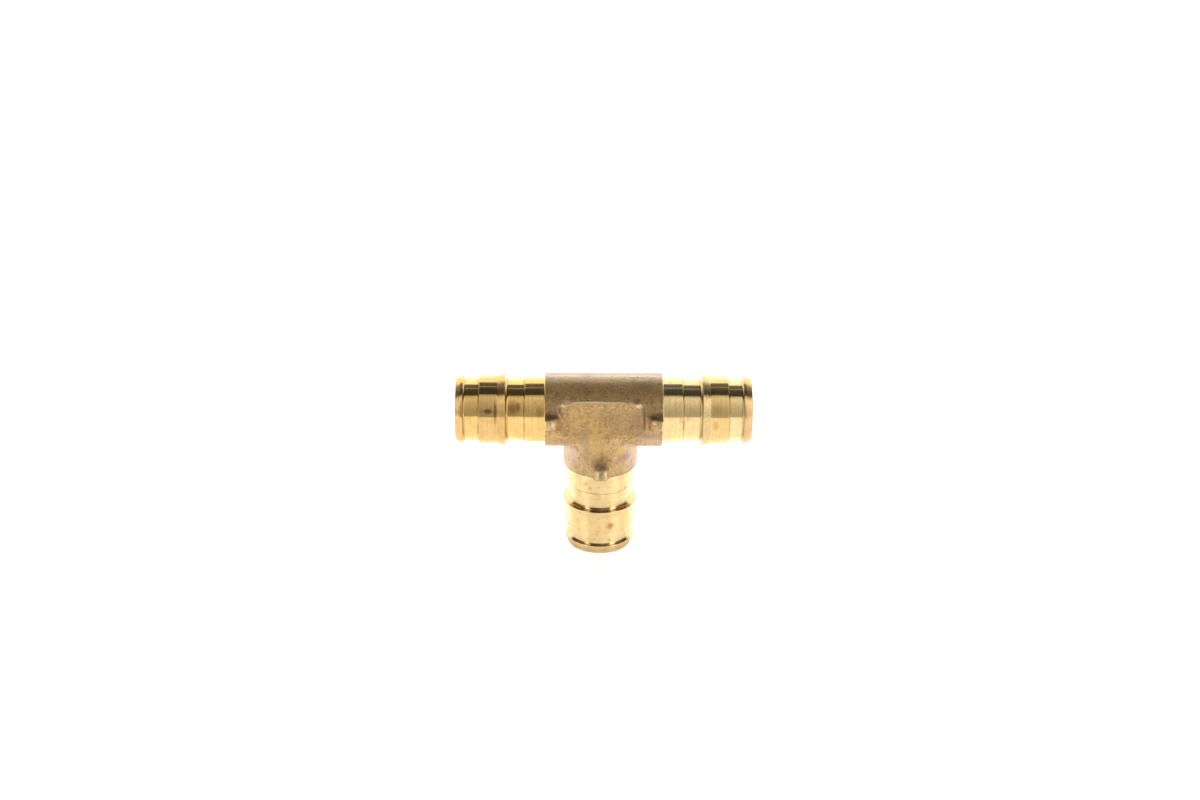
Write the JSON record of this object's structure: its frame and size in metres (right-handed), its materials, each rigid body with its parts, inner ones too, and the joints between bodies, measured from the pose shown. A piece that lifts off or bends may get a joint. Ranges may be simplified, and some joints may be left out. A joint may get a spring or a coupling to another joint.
{
  "type": "expansion pipe tee",
  "caption": "Equal tee for cold-expansion plastic pipe: a forged brass body with turned, ribbed insert ends, ring stops, a through bore and a branch bore.",
  "frame": {"origin": "where the axis of the run's bore crosses the axis of the branch's bore", "axes": "+X along the run towards its farther end, -Z down the branch to its open end, -Y out of the front panel"},
  "size_m": [0.0646, 0.02, 0.0405],
  "materials": {
    "forged_brass": "as-forged body with bright turned ends"
  },
  "bodies": {
    "root": {"tee_fitting": "forged_brass"}
  },
  "joints": []
}
